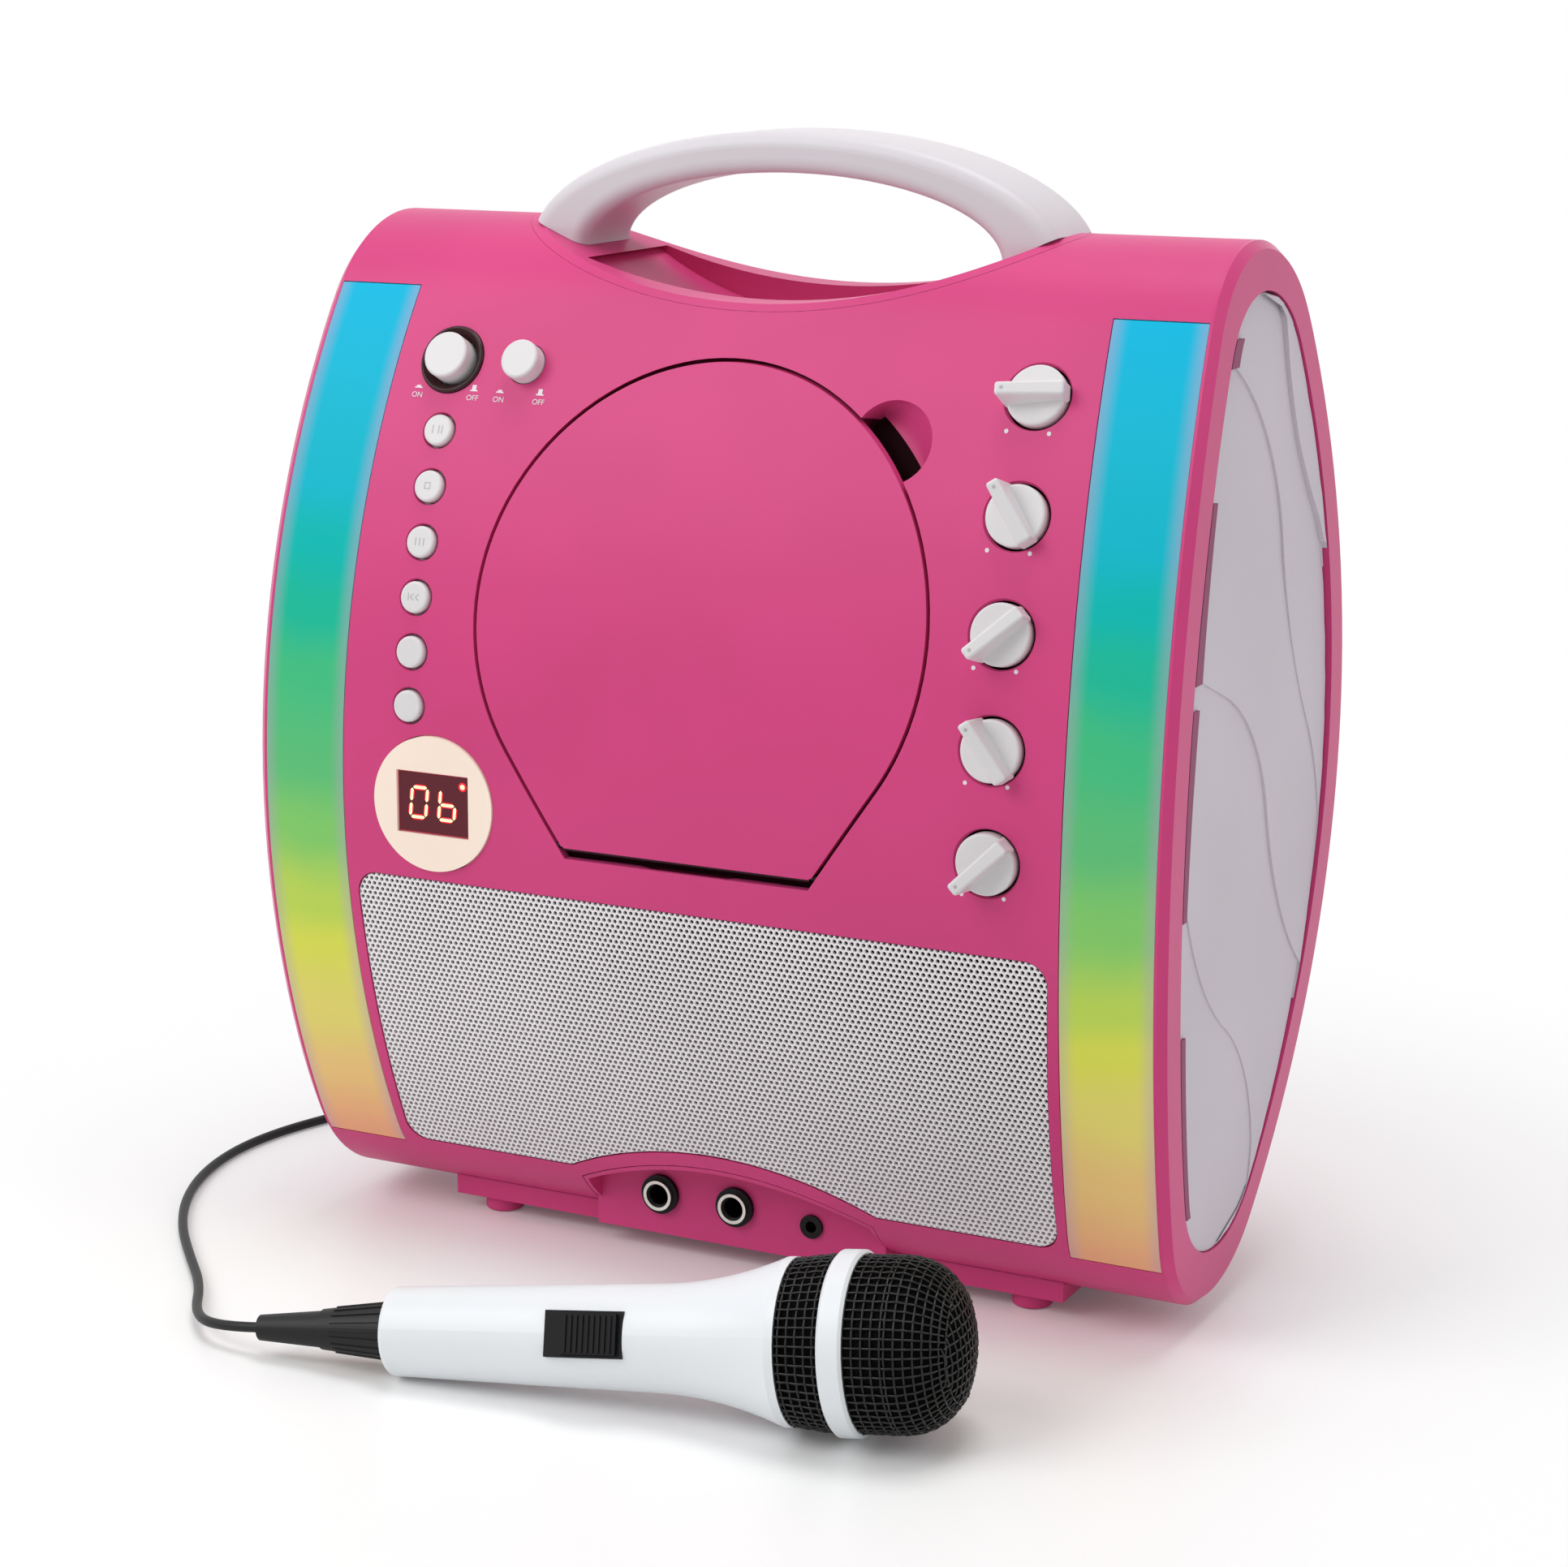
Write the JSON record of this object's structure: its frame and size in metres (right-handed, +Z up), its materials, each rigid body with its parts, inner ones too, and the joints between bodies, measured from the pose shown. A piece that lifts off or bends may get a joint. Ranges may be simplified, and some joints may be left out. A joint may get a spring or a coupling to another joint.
{
  "type": "karaoke machine",
  "caption": "Table-top karaoke machine with a round front disc door, light strips, push buttons, knobs, speaker grille, carrying handle and a corded microphone.",
  "frame": {"origin": "middle of the bottom of the machine and its microphone together, on the table", "axes": "+Z up, +X to the right seen from the front, front faces -Y"},
  "size_m": [0.3486, 0.3163, 0.342],
  "materials": {
    "pink_shell": "satin gloss",
    "pale_plastic": "gloss",
    "light_cover": "translucent gloss",
    "circuit_board": "matte",
    "deck_plastic": "satin",
    "motor_steel": "satin",
    "dark_plastic": "satin",
    "display_cream": "gloss",
    "digit_red": "gloss",
    "grille_paint": "satin",
    "bright_metal": "polished",
    "cord_rubber": "matte",
    "mic_white": "gloss",
    "mic_mesh": "matte"
  },
  "bodies": {
    "machine": {"front_cabinet": "pink_shell", "rear_cabinet": "pink_shell", "end_frame_right": "pink_shell", "end_frame_left": "pink_shell", "side_panel_right": "pale_plastic", "side_panel_left": "pale_plastic", "handle": "pale_plastic", "handle_well": "pink_shell", "light_strip_right": "light_cover", "light_strip_left": "light_cover", "light_boards": "circuit_board", "disc_well": "deck_plastic", "drive_motors": "motor_steel", "guide_rods": "motor_steel", "power_ring": "dark_plastic", "control_boards": "circuit_board", "display_window": "display_cream", "digit_display": "digit_red", "speaker_grille": "grille_paint", "speaker_frame": "dark_plastic", "speaker_cone": "dark_plastic", "jack_panel": "deck_plastic", "mic_jacks": "dark_plastic", "jack_rings": "bright_metal", "aux_jack": "dark_plastic", "base_plinth": "pink_shell", "feet": "pink_shell", "main_board": "circuit_board", "terminal_plate": "pink_shell", "output_sockets": "dark_plastic", "power_inlet": "dark_plastic", "case_screws": "motor_steel"},
    "door": {"disc_door": "pink_shell", "door_hinge_pins": "motor_steel"},
    "turntable": {"turntable": "deck_plastic"},
    "pickup": {"optical_pickup": "dark_plastic"},
    "sled_screw": {"sled_screw": "motor_steel"},
    "play_pause_button": {"play_pause_button": "pale_plastic"},
    "stop_button": {"stop_button": "pale_plastic"},
    "forward_button": {"forward_button": "pale_plastic"},
    "back_button": {"back_button": "pale_plastic"},
    "repeat_button": {"repeat_button": "pale_plastic"},
    "function_button": {"function_button": "pale_plastic"},
    "power_button": {"power_button": "pale_plastic"},
    "lights_button": {"lights_button": "pale_plastic"},
    "volume_knob": {"volume_knob": "pale_plastic"},
    "echo_knob": {"echo_knob": "pale_plastic"},
    "voice_knob": {"voice_knob": "pale_plastic"},
    "balance_knob": {"balance_knob": "pale_plastic"},
    "mic_volume_knob": {"mic_volume_knob": "pale_plastic"},
    "microphone": {"mic_handle": "mic_white", "mic_head": "mic_mesh", "mic_ring": "mic_white", "mic_switch_plate": "dark_plastic", "mic_strain_relief": "cord_rubber", "mic_cord": "cord_rubber", "mic_cord_coil": "cord_rubber", "coil_tie": "cord_rubber", "mic_plug": "cord_rubber"},
    "mic_switch": {"mic_switch": "dark_plastic"}
  },
  "joints": [
    {"name": "door_hinge", "type": "hinge", "parent": "machine", "child": "door", "pos_m": [0, -0.02574, 0.1362], "axis": [1, 0, 0], "range_deg": [0, 50]},
    {"name": "turntable_spin", "type": "hinge", "parent": "machine", "child": "turntable", "pos_m": [0, -0.00674, 0.205], "axis": [0, -0.9763, 0.2164], "continuous": true},
    {"name": "pickup_slide", "type": "slide", "parent": "machine", "child": "pickup", "axis": [1, 0, 0], "range_m": [0, 0.034]},
    {"name": "sled_screw_spin", "type": "hinge", "parent": "machine", "child": "sled_screw", "pos_m": [0.0112, 0.00097, 0.18434], "axis": [1, 0, 0], "range_deg": [-10, 4100]},
    {"name": "play_pause_press", "type": "slide", "parent": "machine", "child": "play_pause_button", "axis": [0, 0.9254, -0.379], "range_m": [0, 0.001], "stiffness_N_per_m": 200, "springref_m": -0.0005},
    {"name": "stop_press", "type": "slide", "parent": "machine", "child": "stop_button", "axis": [0, 0.9456, -0.3253], "range_m": [0, 0.001], "stiffness_N_per_m": 200, "springref_m": -0.0005},
    {"name": "forward_press", "type": "slide", "parent": "machine", "child": "forward_button", "axis": [0, 0.9624, -0.2717], "range_m": [0, 0.001], "stiffness_N_per_m": 200, "springref_m": -0.0005},
    {"name": "back_press", "type": "slide", "parent": "machine", "child": "back_button", "axis": [0, 0.9759, -0.218], "range_m": [0, 0.001], "stiffness_N_per_m": 200, "springref_m": -0.0005},
    {"name": "repeat_press", "type": "slide", "parent": "machine", "child": "repeat_button", "axis": [0, 0.9864, -0.1643], "range_m": [0, 0.001], "stiffness_N_per_m": 200, "springref_m": -0.0005},
    {"name": "function_press", "type": "slide", "parent": "machine", "child": "function_button", "axis": [0, 0.9939, -0.1107], "range_m": [0, 0.001], "stiffness_N_per_m": 200, "springref_m": -0.0005},
    {"name": "power_press", "type": "slide", "parent": "machine", "child": "power_button", "axis": [0, 0.8947, -0.4467], "range_m": [0, 0.003], "stiffness_N_per_m": 200, "springref_m": -0.0005},
    {"name": "lights_press", "type": "slide", "parent": "machine", "child": "lights_button", "axis": [0, 0.8947, -0.4467], "range_m": [0, 0.003], "stiffness_N_per_m": 200, "springref_m": -0.0005},
    {"name": "volume_turn", "type": "hinge", "parent": "machine", "child": "volume_knob", "pos_m": [0.0955, 0.0041, 0.2735], "axis": [0, -0.8955, 0.445], "range_deg": [-233, 37]},
    {"name": "echo_turn", "type": "hinge", "parent": "machine", "child": "echo_knob", "pos_m": [0.0955, -0.0094, 0.2419], "axis": [0, -0.9405, 0.3397], "range_deg": [-170, 100]},
    {"name": "voice_turn", "type": "hinge", "parent": "machine", "child": "voice_knob", "pos_m": [0.0955, -0.01889, 0.2103], "axis": [0, -0.9722, 0.2343], "range_deg": [-270, 0]},
    {"name": "balance_turn", "type": "hinge", "parent": "machine", "child": "balance_knob", "pos_m": [0.0955, -0.02473, 0.1787], "axis": [0, -0.9916, 0.129], "range_deg": [-170, 100]},
    {"name": "mic_volume_turn", "type": "hinge", "parent": "machine", "child": "mic_volume_knob", "pos_m": [0.0955, -0.02716, 0.1471], "axis": [0, -0.9997, 0.0237], "range_deg": [-270, 0]},
    {"name": "microphone_lift", "type": "slide", "parent": "machine", "child": "microphone", "axis": [0, 0, 1], "range_m": [0, 0.06]},
    {"name": "mic_switch_slide", "type": "slide", "parent": "microphone", "child": "mic_switch", "axis": [-0.9821, -0.1621, -0.0963], "range_m": [0, 0.004]}
  ],
  "couplings": [
    {"joint": "sled_screw_spin", "follows": "pickup_slide", "rad_per_m": 2094.4}
  ]
}
